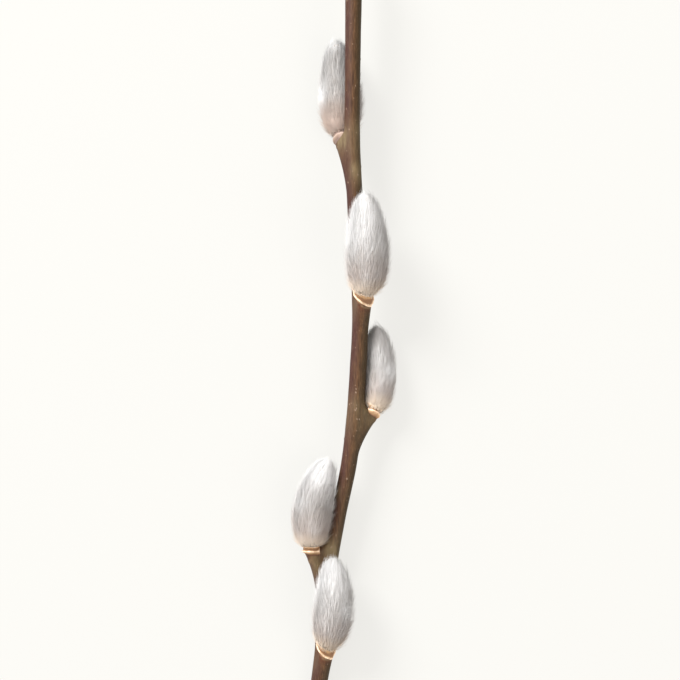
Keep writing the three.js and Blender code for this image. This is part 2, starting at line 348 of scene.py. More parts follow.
node = NODES[1]
widest = np.hypot(*section(node["lip"], math.radians(node["turn"]), STEM[4, 3]))
print("widest point of node 2 in mm:", round(float(widest), 2))

# %% [markdown]
# ## The stem's mesh
# It could be lofted through curves. Here a plain cylinder is cut into fine rings, its end faces get
# two insets for the bark's edge and the pith, and then every ring is moved to its place. That keeps
# clean quads all along, which the pores and scars can be raised from.

# %% Make a ringed cylinder
SIDES = 64
RINGS = 460
END_INSETS = (0.1, 0.62)  # how far in from the bark's face the sapwood and then the pith begin


def ringed_cylinder():
    """A cylinder of radius 1 and height 1 with RINGS bands and two insets in each end."""
    shape = bmesh.new()
    bmesh.ops.create_cone(shape, cap_ends=True, segments=SIDES, radius1=1, radius2=1, depth=1)
    for level in END_INSETS:
        caps = [f for f in shape.faces if len(f.verts) == SIDES]
        bmesh.ops.inset_individual(shape, faces=caps, thickness=level, use_even_offset=True)
    upright = [e for e in shape.edges if abs(e.verts[0].co.z - e.verts[1].co.z) > 0.5]
    bmesh.ops.subdivide_edges(shape, edges=upright, cuts=RINGS - 1, use_grid_fill=True)
    return shape


def new_piece(name, shape, *materials):
    """A smooth-shaded object from a bmesh, whose place is in its mesh."""
    mesh = bpy.data.meshes.new(name)
    shape.to_mesh(mesh)
    shape.free()
    for material in materials:
        mesh.materials.append(material)
    mesh.polygons.foreach_set("use_smooth", [True] * len(mesh.polygons))
    return link(bpy.data.objects.new(name, mesh))


def points_of(mesh, what="co"):
    """A mesh's vertex positions or normals as rows of numbers."""
    out = np.empty(3 * len(mesh.vertices), np.float32)
    mesh.vertices.foreach_get(what, out)
    return out.reshape(-1, 3).astype(float)


def move_points(mesh, places):
    """Moves a mesh's vertices to places in metres."""
    mesh.vertices.foreach_set("co", np.asarray(places, np.float32).ravel())
    mesh.update()


def count_triangles(mesh):
    mesh.calc_loop_triangles()
    return len(mesh.loop_triangles)


# %% Bend the cylinder into the stem
stem_object = new_piece("willow_stem", ringed_cylinder())
stem_mesh = stem_object.data
plain = points_of(stem_mesh)
heights = np.linspace(BOTTOM, TOP, RINGS + 1)
middle, along, front, right, radius = stem_frame(heights)
rings = [even_ring(y, r, SIDES) for y, r in zip(heights, radius)]
ring_across, ring_forward, ring_turn = (np.array(v) for v in zip(*rings))

ring = np.round((plain[:, 2] + 0.5) * RINGS).astype(int)
column = np.round(np.arctan2(-plain[:, 0], plain[:, 1]) % TURN / TURN * SIDES).astype(int) % SIDES
share = np.minimum(1, np.hypot(plain[:, 0], plain[:, 1]))
across, forward = share * ring_across[ring, column], share * ring_forward[ring, column]
lean = LOWER_CUT_SLANT * (1 - smooth((heights - BOTTOM) / CUT_REACH)) + UPPER_CUT_SLANT * (
    1 - smooth((TOP - heights) / CUT_REACH)
)
bare = (middle[ring] + right[ring] * across[:, None] + front[ring] * forward[:, None]
        + along[ring] * (across * lean[ring])[:, None])
move_points(stem_mesh, bare * MM)
print("stem triangles:", count_triangles(stem_mesh))

# %% [markdown]
# ## Pores, scars and wrinkles
# Willow bark is smooth, with small raised pores that let it breathe. Below each bud is the crescent
# scar of last year's leaf, with three dots where its veins were cut. Both could be painted on, but
# raised bark catches the light, so the vertices are moved along their normals. How much each mark
# covers is stored on the mesh, and the bark's material reads it to colour the same spots.

# %% Raise the marks
PORES = 60
PORE_HEIGHT = 0.07
PORE_SIZES = (0.1, 0.17)
PORES_SEEN = [(2.19, -12.2), (2.65, -16.3), (0.8, -32.0), (-2.6, -47.6)]  # right and up, in mm
SEEN_PORE_SIZE = 0.22
SCAR_HEIGHT = 0.13
SCAR_BELOW_LIP, SCAR_BEND, SCAR_THICKNESS, SCAR_REACH = 1.25, 0.16, 0.32, 2.1
PIT_DEPTH, PIT_SIZE, PITS = 0.09, 0.2, (-0.85, 0.0, 0.85)
RIPPLE_HEIGHT = 0.025
BARK_EDGE = 0.99  # share of the radius past which a vertex is bark and not cut wood
WAX_AND_HIGHLIGHT_SEEN = [  # patches of grey wax, the first of them a painted highlight where the left edge faces the light: right, up, reach and amount
    (-2.0, -34.5, 0.9, 1.0), (-3.2, -49.0, 1.8, 1.1), (2.6, 38.5, 1.4, 0.6), (-0.8, 46.5, 1.5, 1.1),
    (6.9, -18.0, 1.6, 0.7), (-6.9, -51.0, 1.5, 0.8),
]

rng = np.random.default_rng(11)
normals = points_of(stem_mesh, "normal")
facing = ring_turn[ring, column]
on_bark = share > BARK_EDGE
raised = np.zeros(len(bare))
pore = np.zeros(len(bare))  # how much of a pore covers each vertex
bark_points = np.flatnonzero(on_bark)


def nearest_front_point(x, y):
    """The bark's vertex that is seen from the front at x, y."""
    near = bark_points[np.hypot(bare[bark_points, 0] - x, bare[bark_points, 1] - y) < 0.45]
    return near[np.argmax(bare[near, 2])]


spots = [nearest_front_point(x, y) for x, y in PORES_SEEN]
spots += list(rng.choice(bark_points, PORES - len(spots), replace=False))
sizes = np.concatenate([[SEEN_PORE_SIZE] * len(PORES_SEEN), rng.uniform(*PORE_SIZES, PORES)])
for spot, size in zip(spots, sizes):
    away = bare - bare[spot]
    reach = np.exp(-((away[:, 0] ** 2 + away[:, 2] ** 2) / size**2 + (away[:, 1] / (1.3 * size)) ** 2))
    pore = np.maximum(pore, reach * on_bark)
raised += PORE_HEIGHT * pore

scar, rust, wax_and_painted_highlight = (np.zeros(len(bare)) for _ in range(3))
for node in NODES:
    turned = (facing - math.radians(node["turn"]) + math.pi) % TURN - math.pi
    sideways = turned * node["radius"] * 1.1
    upward = bare[:, 1] - node["lip"]
    crescent = upward + SCAR_BELOW_LIP - SCAR_BEND * sideways**2
    line = np.exp(-((crescent / SCAR_THICKNESS) ** 2))
    scar = np.maximum(scar, line * smooth((SCAR_REACH - abs(sideways)) / 0.7))
    patch = np.exp(-(((upward + 0.3) / 1.5) ** 2)) * smooth((3.1 - abs(sideways)) / 1.6)
    rust = np.maximum(rust, node["rust"] * patch)
    nearby = np.exp(-((np.maximum(0, abs(upward - 0.5) - 1.0) / 3.5) ** 2))
    wax_and_painted_highlight = np.maximum(wax_and_painted_highlight, 0.35 * nearby * (1 - np.exp(-((turned / 1.2) ** 2))))
    for dot in PITS:
        pit = np.exp(-(((sideways - dot) ** 2 + crescent**2) / PIT_SIZE**2))
        raised -= PIT_DEPTH * pit * on_bark
# The first patch paints a highlight on the stem's left edge, where it faces the light; the rest are grey wax.
for x, y, reach, amount in WAX_AND_HIGHLIGHT_SEEN:
    away = np.hypot(bare[:, 0] - x, 0.45 * (bare[:, 1] - y)) / reach
    wax_and_painted_highlight = np.maximum(wax_and_painted_highlight, amount * np.exp(-(away**2)) * smooth(normals[:, 2] + 0.6))
scar, rust, wax_and_painted_highlight = scar * on_bark, rust * on_bark, wax_and_painted_highlight * on_bark
raised += SCAR_HEIGHT * scar
ripple = np.sin(9 * facing + 0.8 * np.sin(0.31 * bare[:, 1])) * np.sin(0.9 * bare[:, 1] + 2 * facing)
raised += RIPPLE_HEIGHT * ripple * on_bark * (0.35 + wax_and_painted_highlight)
move_points(stem_mesh, (bare + normals * raised[:, None]) * MM)
print("highest mark in mm:", round(float(raised.max()), 2))


# %% Keep the marks on the mesh
def store(mesh, name, columns):
    """Keeps up to four numbers a vertex on the mesh, for its material to read."""
    data = np.zeros((len(mesh.vertices), 4), np.float32)
    for k, values in enumerate(columns):
        data[:, k] = values
    mesh.attributes.new(name, "FLOAT_COLOR", "POINT").data.foreach_set("color", data.ravel())


red = smooth((0.45 - normals[:, 0]) / 1.3)
olive = smooth((normals[:, 0] + 0.05) / 0.95)
store(stem_mesh, "bark_sides", (red, olive, wax_and_painted_highlight, on_bark))
store(stem_mesh, "bark_marks", (pore, scar, rust, on_bark))
print("pores:", len(spots), "share of bark that is waxy:", round(float((wax_and_painted_highlight > 0.3).mean()), 2))

# %% [markdown]
# ## Willow bark
# Young willow bark is thin, smooth and a little waxy. The side that saw the sun is mauve red, the
# shaded side olive, and a grey bloom of wax lies round the nodes. Fine streaks run up the shoot.
# Streaks are noise stretched ten times along the stem, a third of a millimetre wide, which is just
# wide enough to show in the picture.

# %% Make the bark
def stretched_noise(tree, width, length, detail=3.0, w=0.0):
    """Noise whose blots are about that wide and that long up the stem, in millimetres."""
    coords = add_node(tree, "TexCoord").outputs["Object"]
    scale = (1 / (width * MM), 1 / (length * MM), 1 / (width * MM))
    mapped = add_node(tree, "Mapping", {"Vector": coords, "Scale": scale, "Location": (w, w, w)})
    noise = add_node(tree, "TexNoise", {"Vector": mapped.outputs[0], "Scale": 1.0, "Detail": detail})
    return noise.outputs["Fac"]


bark, tree, shader = new_material("willow_bark")
red_side, olive_side, wax_and_highlight_share, _ = kept_on_mesh(tree, "bark_sides")
pore_mark, scar_mark, rust_mark, _ = kept_on_mesh(tree, "bark_marks")
streaks = stretched_noise(tree, 0.35, 4.0)
clouds = stretched_noise(tree, 1.6, 7.0, w=3.0)
fine = stretched_noise(tree, 0.12, 1.3, w=5.0)
coords = add_node(tree, "TexCoord").outputs["Object"]
cells = add_node(tree, "TexVoronoi", {"Vector": coords, "Scale": 1 / (1.5 * MM)})
specks = (cells.outputs["Distance"], 0.13, 0.07)
tone = coats(
    tree, linear("33200F"),
    (linear("5A3F26"), (streaks, 0.35, 0.65)),
    (linear("3C221E"), combine(tree, "MULTIPLY", red_side, (clouds, 0.1, 0.6))),
    (linear("31240C"), olive_side),
    # grey wax, with a painted highlight on the stem's left edge
    (linear("847657"), combine(tree, "MULTIPLY", wax_and_highlight_share, (clouds, 0.2, 0.8))),
    (linear("552A19"), rust_mark),
    (linear("715D44"), scar_mark),
    (linear("2E1F16"), (fine, 0.5, 0.8, 0.5)),
    (linear("7B6552"), (fine, 0.45, 0.2, 0.35)),
    (linear("8A725E"), (*specks, 0.4)),
    (linear("8A7565"), (pore_mark, 0.3, 0.8, 0.8)),
)
tree.links.new(tone, shader.inputs["Base Color"])
tree.links.new(
    add_node(tree, "MapRange", {"Value": streaks, "To Min": 0.42, "To Max": 0.62}).outputs[0],
    shader.inputs["Roughness"],
)
relief = combine(tree, "ADD", streaks, fine, specks)
bump = add_node(tree, "Bump", {"Strength": 0.6, "Distance": 0.04 * MM, "Height": relief})
tree.links.new(bump.outputs[0], shader.inputs["Normal"])
shader.inputs["Specular IOR Level"].default_value = 0.2

# %% [markdown]
# ## The cut ends
# Both ends were cut with pruning shears, the lower one on a slant. A cut shows three rings: the
# thin green edge under the bark, pale new wood, and a spongy brown pith in the middle. The two
# insets made those rings in the mesh, so each gets a material of its own.

# %% Make the cut wood and dress the stem
CUT_WOOD = [  # name, the size of its grain in mm, its two colours and its roughness
    ("green_inner_bark", 0.2, "5E5A30", "8A8450", 0.6),  # the moist layer under the bark
    ("cut_sapwood", 0.12, "CDB285", "EBDCB9", 0.75),  # fresh wood, matt, with fine rays
    ("willow_pith", 0.1, "8A6B48", "B7976B", 0.95),  # dry foam, it swallows the light
]
dressing = [bark]
for name, size, dark, light, roughness in CUT_WOOD:
    wood, tree, shader = new_material(name)
    grain = stretched_noise(tree, size, size)
    tone = coats(tree, linear(dark), (linear(light), (grain, 0.3, 0.7)))
    tree.links.new(tone, shader.inputs["Base Color"])
    shader.inputs["Roughness"].default_value = roughness
    dressing.append(wood)

PITH_EDGE = 0.4
for material in dressing:
    stem_mesh.materials.append(material)
for face in stem_mesh.polygons:  # 0 is bark, and the cut's rings follow inwards
    inside = [share[v] for v in face.vertices]
    if max(inside) < PITH_EDGE:
        face.material_index = 3
    elif max(inside) < BARK_EDGE:
        face.material_index = 2
    elif min(inside) < BARK_EDGE:
        face.material_index = 1
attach(stem_object, "root")
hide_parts("stem")
print("faces a material:", np.bincount([f.material_index for f in stem_mesh.polygons]))

# %% [markdown]
# ## The catkin's form
# A catkin is plumpest a little below its middle and closes in a soft point. Any place on it is given
# by a share t of its length and a turn round its middle line, where turn 0 faces away from the stem.
# Everything on a catkin, its body, its scales and its silk, is laid out in these two numbers and
# then moved to its place, in the same way as a label is wrapped round a bottle.

# %% Find a place on a catkin
BELLY_AT, BASE_CURVE, TIP_CURVE = 0.38, 2.25, 1.75


def profile(t, base_curve=BASE_CURVE, tip_curve=TIP_CURVE):
    """Half-width at share t of the length, from 0 at the base to 1 and back to 0 at the tip."""
    t = np.clip(t, 0, 1)
    low = np.clip((BELLY_AT - t) / BELLY_AT, 0, 1) ** base_curve
    high = np.clip((t - BELLY_AT) / (1 - BELLY_AT), 0, 1) ** tip_curve
    return np.where(t < BELLY_AT, (1 - low) ** (1 / base_curve), (1 - high) ** (1 / tip_curve))


def catkin_length(node):
    return float(np.linalg.norm(np.subtract(node["tip"], node["base"])))


def catkin_frame(node, t):
    """Points of the middle line at shares t, and the directions along, out and side there."""
    base, belly, tip = (np.array(node[k], float) for k in ("base", "belly", "tip"))
    handle = 2 * belly - base / 2 - tip / 2
    t = np.asarray(t, float)[:, None]
    s = np.clip(t, 0, 1)
    middle = (1 - s) ** 2 * base + 2 * s * (1 - s) * handle + s * s * tip
    along = unit((1 - s) * (handle - base) + s * (tip - handle))
    out = middle - stem_frame(middle[:, 1])[0]
    out = unit(out - along * (out * along).sum(1, keepdims=True))
    return middle + along * (t - s) * catkin_length(node), along, out, np.cross(along, out)


def catkin_place(node, t, turn, fullness, lift=0.0, curves=(BASE_CURVE, TIP_CURVE)):
    """The point at share t and a turn. fullness 1 is the CAD form, and lift is added in mm."""
    middle, along, out, side = catkin_frame(node, t)
    half = profile(t, *curves)
    outward = np.cos(turn) * half * (node["depth"] / 2 * fullness + lift)
    sideways = np.sin(turn) * half * (node["width"] / 2 * fullness + lift)
    endways = lift * np.sqrt(1 - half**2) * np.where(np.asarray(t) < BELLY_AT, -1, 1)
    return middle + out * outward[:, None] + side * sideways[:, None] + along * endways[:, None]


print("catkin lengths in mm:", [round(catkin_length(n), 1) for n in NODES])

# %% [markdown]
# ## Keeping clear
# A soft thing gives way to a hard one. Silk that would run into the stem is pressed flat against the
# bark, and under the lowest catkins it is pressed flat on the floor. A BVH tree finds the nearest
# bark for any point quickly, and its normal tells on which side the point is.

# %% Press points out of the bark and the floor
SEARCH = 2.5  # how far from a point its nearest surface is looked for
NEAR_STEM = 7.5
stem_places = points_of(stem_mesh) / MM
stem_tree = BVHTree.FromPolygons(stem_places.tolist(), [tuple(f.vertices) for f in stem_mesh.polygons])


def press_out(places, tree, gap):
    """Moves points that are nearer than gap to a closed surface, or inside it, out to gap."""
    gap = np.broadcast_to(gap, len(places))
    for k, place in enumerate(places):
        spot, normal, _, _ = tree.find_nearest(Vector(place), SEARCH)
        if spot is not None and (Vector(place) - spot).dot(normal) < gap[k]:
            places[k] = spot + normal * gap[k]
    return places


def near_stem(places, reach):
    """Marks the points within reach of the stem's middle line."""
    middle = stem_frame(places[:, 1])[0]
    return np.linalg.norm(places - middle, axis=1) < reach


def keep_clear(places, gap, floor_gap):
    """Points pressed out of the stem and up from the floor."""
    close = near_stem(places, NEAR_STEM)
    places[close] = press_out(places[close], stem_tree, np.broadcast_to(gap, len(places))[close])
    places[:, 2] = np.maximum(places[:, 2], floor_gap)
    return places


print("stem box in mm:", (stem_places.max(0) - stem_places.min(0)).round(1))

# %% [markdown]
# ## Rows of small things
# A catkin has some eighty scales and thousands of hairs. Each could be added in a loop, which is
# slow. An Array modifier makes a whole row of copies at once, and numpy then carries each copy to
# its place on the catkin. The copies come out in order, so vertex k belongs to copy k // size.

# %% Make rows of scales and hairs
SPACING = 8.0


def row_of(shape, count):
    """A mesh of count copies of a shape side by side, and the shape's own vertex places."""
    piece = new_piece("row", shape)
    own = points_of(piece.data)
    array = piece.modifiers.new("row", "ARRAY")
    array.count, array.use_relative_offset, array.use_constant_offset = count, False, True
    array.constant_offset_displace = (SPACING, 0, 0)
    depsgraph = bpy.context.evaluated_depsgraph_get()
    mesh = bpy.data.meshes.new_from_object(piece.evaluated_get(depsgraph))
    bpy.data.objects.remove(piece)
    return mesh, own


def hair_shape():
    """A three-sided cone with one joint halfway up, 1 high. It has 7 vertices and 10 triangles."""
    shape = bmesh.new()
    bmesh.ops.create_cone(shape, cap_ends=True, segments=3, radius1=1, radius2=0, depth=1)
    bmesh.ops.remove_doubles(shape, verts=shape.verts, dist=1e-4)
    rising = [e for e in shape.edges if abs(e.verts[0].co.z - e.verts[1].co.z) > 0.5]
    bmesh.ops.subdivide_edges(shape, edges=rising, cuts=1)
    bmesh.ops.triangulate(shape, faces=shape.faces)
    return shape


def scale_shape():
    """A round sphere, which scales_on() later makes into a leaf-shaped scale, thin and pointed at one end."""
    shape = bmesh.new()
    bmesh.ops.create_uvsphere(shape, u_segments=8, v_segments=6, radius=1)
    return shape


HAIRS = 16500
SCALES = 80
hair_row, hair_own = row_of(hair_shape(), HAIRS)
scale_row, scale_own = row_of(scale_shape(), SCALES)
print("hair vertices:", len(hair_own), "triangles:", count_triangles(hair_row) // HAIRS)

# %% [markdown]
# ## The body under the silk
# Under its silk a catkin is a green core with overlapping scales, each tipped with dark brown. They
# show through as faint grey patches. Both are drawn much paler here, because this silk has fewer
# hairs than a real one and would let dark tips show as spots. The core is a sphere whose rows are
# moved on to the form, and the scales follow the golden angle, as they do on the plant, which
# spaces them evenly. A plug of felt fills the bud scale's cup below the core, so that no gap shows
# between silk and paper.

# %% Make the body
GOLDEN_ANGLE = math.pi * (3 - math.sqrt(5))
BODY_FULLNESS = 0.8
PLUG_SIZE = (0.74, 1.1)  # the felt plug: share of the collar's radius, and height in mm
SCALE_WIDTH, SCALE_LENGTH, SCALE_THICKNESS = 1.15, 2.4, 0.16
CORE_INSET = (0.98, -0.8)  # fullness and lift: the core ends 0.8 mm inside the silk
SILK_CURVES = (2.6, 1.95)  # silk and core are blunter than the CAD form at both ends


def spiral(count, first, last):
    """Shares t and turns of count places, evenly spread over a catkin's skin."""
    ts = np.linspace(0, 1, 500)
    skin = np.cumsum(profile(ts) + 0.05)
    t = np.interp((np.arange(count) + 0.5) / count, skin / skin[-1], ts)
    return first + (last - first) * t, (np.arange(count) * GOLDEN_ANGLE) % TURN


def core_mesh(node, fullness, lift, u_segments, v_segments):
    """A catkin's closed form as a bmesh, in metres."""
    shape = bmesh.new()
    bmesh.ops.create_uvsphere(shape, u_segments=u_segments, v_segments=v_segments, radius=1)
    co = np.array([v.co for v in shape.verts])
    t, turn = 0.5 + 0.5 * np.clip(co[:, 2], -1, 1), np.arctan2(-co[:, 0], co[:, 1])
    places = catkin_place(node, t, turn, fullness, lift, SILK_CURVES)
    for v, place in zip(shape.verts, keep_clear(places, 0.05, 0.03)):
        v.co = Vector(place) * MM
    return shape


def scales_on(node):
    """The rows of dark-tipped scales, moved on to one catkin."""
    mesh = scale_row.copy()
    t, turn = spiral(SCALES, 0.05, 0.82)
    own = np.tile(scale_own, (SCALES, 1))
    copy = np.repeat(np.arange(SCALES), len(scale_own))
    half = profile(t)[copy]
    reach = (own[:, 2] + 1) / 2  # 0 at a scale's foot and 1 at its tip
    wide = SCALE_WIDTH * (1 - 0.75 * reach**2)
    at_t = t[copy] + (reach * SCALE_LENGTH - 0.3) / catkin_length(node)
    at_turn = turn[copy] - own[:, 0] * wide / np.maximum(half * node["width"] / 2, 0.8)
    lift = SCALE_THICKNESS * own[:, 1] + 0.25 * reach
    places = catkin_place(node, at_t, at_turn, BODY_FULLNESS, lift)
    move_points(mesh, keep_clear(places, 0.05, 0.05) * MM)
    store(mesh, "scale_tip", (reach, reach, reach, np.ones(len(reach))))
    return mesh


# %% Make the catkin's own colours
body_look, tree, shader = new_material("catkin_scale")  # leathery, dark at the tips
tips = kept_on_mesh(tree, "scale_tip")[0]
grain = stretched_noise(tree, 0.4, 0.6)
tone = coats(
    tree, linear("CDBFAE"),
    (linear("E2D8CA"), (grain, 0.3, 0.7)),
    (linear("A39383"), (tips, 0.45, 0.9)),
)
tree.links.new(tone, shader.inputs["Base Color"])
shader.inputs["Roughness"].default_value = 0.7

# %% [markdown]
# ## The silk
# Each scale bears a tuft of hairs about 3 mm long, combed towards the tip. A hair is a thread of
# clear cells full of air: its tip looks white, and near its root the brown scales show through. Real
# hairs are 0.02 mm thick. These are 0.07 mm at the root, as thin as the picture can show, and there
# are 16,500 on each catkin, which covers the body four times over. Hair curves would be lighter to
# make, but only a mesh is kept by the library. Real silk gleams as one soft skin, because its hairs
# are too fine to be seen singly, so each hair is shaded mostly as if it faced where the catkin does.

# %% Note down the silk
HAIR_LENGTH = 3.3
ROOT_RADIUS, JOINT_RADIUS = 0.033, 0.03
TUFTS = 80
FAN_EVERY = 7  # one hair in seven spreads out of the cup
HAIR_OWN_LIGHT = 0.7  # how much each hair's own roundness counts in its shading, beside the fur's
STRAY_SHARE = 0.14
LIFT, STRAY_LIFT = 0.08, (0.2, 1.3)  # how far tips stand off the silk
BRUSH = 0.24  # how untidy the hairs are at the catkin's tip
LOWEST_HAIR = 0.004
OVERGROWTH = 0.48  # how far the longest stray hairs may reach past the CAD box
GREYNESS = (0.1, 0.3, 0.25, 0.05, 0.7)  # how grey each catkin's silk is round its middle
SILK_PAINTED_LIGHT_AND_SHADE = [  # painted shade where a catkin lies in shadow, partly the taupe of scales showing through, and painted light as minus amounts: right, up, reach and amount
    (9.2, 22.5, 2.6, 0.12), (4.6, 31.5, 3.0, -0.2), (3.6, 23.5, 3.0, -0.4), (8.0, 15.4, 2.4, -0.15),
    (-2.0, -53.0, 3.4, -0.2), (0.8, -62.0, 2.2, -0.8), (-3.1, -67.0, 2.8, -0.4), (-4.6, -30.5, 3.4, -0.6),
    (-5.4, -38.0, 2.6, 0.45), (-9.6, -38.0, 2.2, -0.3), (-7.6, -44.8, 2.4, -0.3), (7.0, 0.5, 3.2, 1.0),
    (10.6, -7.5, 2.4, -1.1), (6.6, -6.5, 1.8, 0.3), (8.4, -13.0, 2.4, -0.3), (-1.8, 65.0, 3.0, 0.9),
    (-1.8, 50.0, 3.4, 1.0), (-5.6, 57.0, 2.2, -1.4), (-1.6, 70.0, 2.0, -1.5), (5.0, 12.6, 2.2, -0.6),
    (4.2, 53.0, 2.5, -1.0),
]
box_low, box_high = np.array(cad_low) / MM - OVERGROWTH, np.array(cad_high) / MM + OVERGROWTH
print("hairs in a tuft:", HAIRS // TUFTS)


# %% Comb the silk over a catkin
def nearest_tuft(node, t, turn):
    """For each hair the tuft that it grows in, and how far round that tuft's middle is."""
    tuft_t, tuft_turn = spiral(TUFTS, 0.04, 0.95)
    around = (tuft_turn[None] - turn[:, None] + math.pi) % TURN - math.pi
    wide = around * (node["width"] / 2 * profile(t))[:, None]
    far = (tuft_t[None] - t[:, None]) * catkin_length(node)
    best = np.argmin(wide**2 + 0.5 * far**2, axis=1)
    return best, around[np.arange(len(t)), best]


def silk_on(node, seed):
    """The rows of hairs for one catkin, with the places of each hair's root, joint and tip on it."""
    rng = np.random.default_rng(seed)
    mesh = hair_row.copy()
    t, turn = spiral(HAIRS, node["hem"], 0.95)
    turn = turn + rng.normal(0, 0.03, HAIRS)
    tuft, around = nearest_tuft(node, t, turn)
    length = HAIR_LENGTH * rng.uniform(0.7, 1.15, HAIRS) * (1 - 0.45 * smooth((t - 0.68) / 0.27))
    tip_t = t + length / catkin_length(node)
    tip_t = np.where(tip_t > 1, 1 + 0.22 * (tip_t - 1), tip_t)
    drift = 0.14 * around + 0.05 * np.sin(3 * turn + 6 * t) + rng.normal(0, 0.025, HAIRS)
    stray = rng.random(HAIRS) < STRAY_SHARE
    lift = rng.exponential(LIFT, HAIRS) + stray * rng.uniform(*STRAY_LIFT, HAIRS)
    depth = rng.uniform(-0.03, 0.03, HAIRS)
    joint_t, root_fullness = (t + tip_t) / 2, BODY_FULLNESS + depth
    fan = np.arange(HAIRS) % FAN_EVERY == 0  # these spread out of the cup like a fan
    joint_t = np.where(fan, node["hem"] + rng.uniform(0, 0.09, HAIRS), joint_t)
    tip_t = np.where(fan, joint_t + rng.uniform(0.03, 0.12, HAIRS), tip_t)
    root_fullness = np.where(fan, rng.uniform(0.2, 0.7, HAIRS), root_fullness)
    sag = fan * (1 - smooth(joint_t / 0.05)) * rng.uniform(0.3, 0.8, HAIRS)
    root = catkin_place(node, np.where(fan, 0.03 + 0.7 * node["hem"], t), turn, root_fullness)
    joint = catkin_place(node, joint_t, turn + 0.4 * drift, 0.905 + depth, 0.4 * lift + sag, SILK_CURVES)
    tip = catkin_place(node, tip_t, turn + drift, 0.945, lift, SILK_CURVES)
    brush = rng.normal(0, BRUSH, (HAIRS, 3)) * smooth((tip_t - 0.88) / 0.12)[:, None]
    tip = np.clip(tip + brush, box_low, box_high)
    gap = rng.uniform(0.05, 0.3, HAIRS)
    root, joint, tip = (keep_clear(p, gap, gap * 0.8) for p in (root, joint, tip))
    outward = unit(joint - catkin_frame(node, joint_t)[0])
    rings = []
    for k, place in enumerate((root, joint, tip)):
        run = unit((joint - root) if k == 0 else (tip - root))
        flat = unit(np.cross(run, outward))
        rings.append((place, flat, np.cross(run, flat)))
    return mesh, rings, dict(t=(t, joint_t, tip_t), tuft=tuft, own=rng.random(HAIRS), outward=outward)


# %% Lay the hairs and shade them as one skin
def lay_hairs(mesh, rings, facts, greyness):
    """Moves the row's vertices on to the combed hairs and stores what the colours need."""
    size = len(hair_own)
    level = np.round((hair_own[:, 2] + 0.5) * 2).astype(int)
    places = np.empty((HAIRS, size, 3))
    facing = np.empty((HAIRS, size, 3))
    colour = np.empty((HAIRS, size, 4), np.float32)
    tuft_tone = np.random.default_rng(5).random(TUFTS)
    for k in range(size):
        place, flat, up = rings[level[k]]
        spoke = hair_own[k, :2] / max(np.hypot(*hair_own[k, :2]), 1e-9)
        thick = (ROOT_RADIUS, JOINT_RADIUS, 0.0)[level[k]]
        places[:, k] = place + thick * (flat * spoke[0] + up * spoke[1])
        facing[:, k] = unit(facts["outward"] + HAIR_OWN_LIGHT * (flat * spoke[0] + up * spoke[1]))
        colour[:, k, 0] = level[k] / 2
        colour[:, k, 1] = facts["own"]
        colour[:, k, 2] = facts["t"][level[k]]
        band = np.exp(-(((facts["t"][level[k]] - 0.5) / 0.3) ** 2))
        taupe_with_painted_light = greyness * band + 0.12 * tuft_tone[facts["tuft"]]
        # Patches of painted shade and painted light: darker where the stem shades a catkin, whiter where
        # light falls on it.
        for x, y, reach, amount in SILK_PAINTED_LIGHT_AND_SHADE:
            away = np.hypot(place[:, 0] - x, place[:, 1] - y) / reach
            taupe_with_painted_light += amount * np.exp(-(away**2))
        colour[:, k, 3] = 1 - taupe_with_painted_light
    places[..., 2] = np.maximum(places[..., 2], LOWEST_HAIR)
    move_points(mesh, places.reshape(-1, 3) * MM)
    mesh.polygons.foreach_set("use_smooth", [True] * len(mesh.polygons))
    mesh.normals_split_custom_set_from_vertices(facing.reshape(-1, 3))
    mesh.attributes.new("silk", "FLOAT_COLOR", "POINT").data.foreach_set("color", colour.ravel())
    return mesh


# %% Make the silk's colour
silk, tree, shader = new_material("willow_silk")  # clear hairs full of air, so white with a soft sheen
along_hair, own_tone, along_catkin, whiteness_with_painted_light = kept_on_mesh(tree, "silk")
patches = stretched_noise(tree, 2.2, 4.5, detail=2.0)
white = combine(
    tree, "ADD",
    (along_hair, 0.0, 0.8, 0.14),
    (along_catkin, 0.12, 0.75, 0.68),
    (own_tone, 0.0, 1.0, 0.05),
    (patches, 0.35, 0.68, 0.25),
    (whiteness_with_painted_light, 1.0, 0.0, -0.6),  # below 1 it is painted shade and the taupe of scales
    (whiteness_with_painted_light, 1.0, 2.0, 0.6),  # above 1 it is painted light
)
cream = combine(tree, "MULTIPLY", (along_catkin, 0.2, 0.03, 0.9), (whiteness_with_painted_light, 0.2, 0.8))
hair_tone = coats(
    tree, linear("C9B6AA"),
    (linear("C2BDB9"), (along_catkin, 0.1, 0.5)),
    (linear("FFFFFF"), white),
    (linear("FFF3E2"), cream),
)
tree.links.new(hair_tone, shader.inputs["Base Color"])
shader.inputs["Roughness"].default_value = 0.5
shader.inputs["Sheen Weight"].default_value = 0.25
through = add_node(tree, "BsdfTranslucent", {"Color": hair_tone})
mixed = add_node(tree, "MixShader", {0: 0.5, 1: shader.outputs[0], 2: through.outputs[0]})
tree.links.new(mixed.outputs[0], tree.nodes["Material Output"].inputs["Surface"])

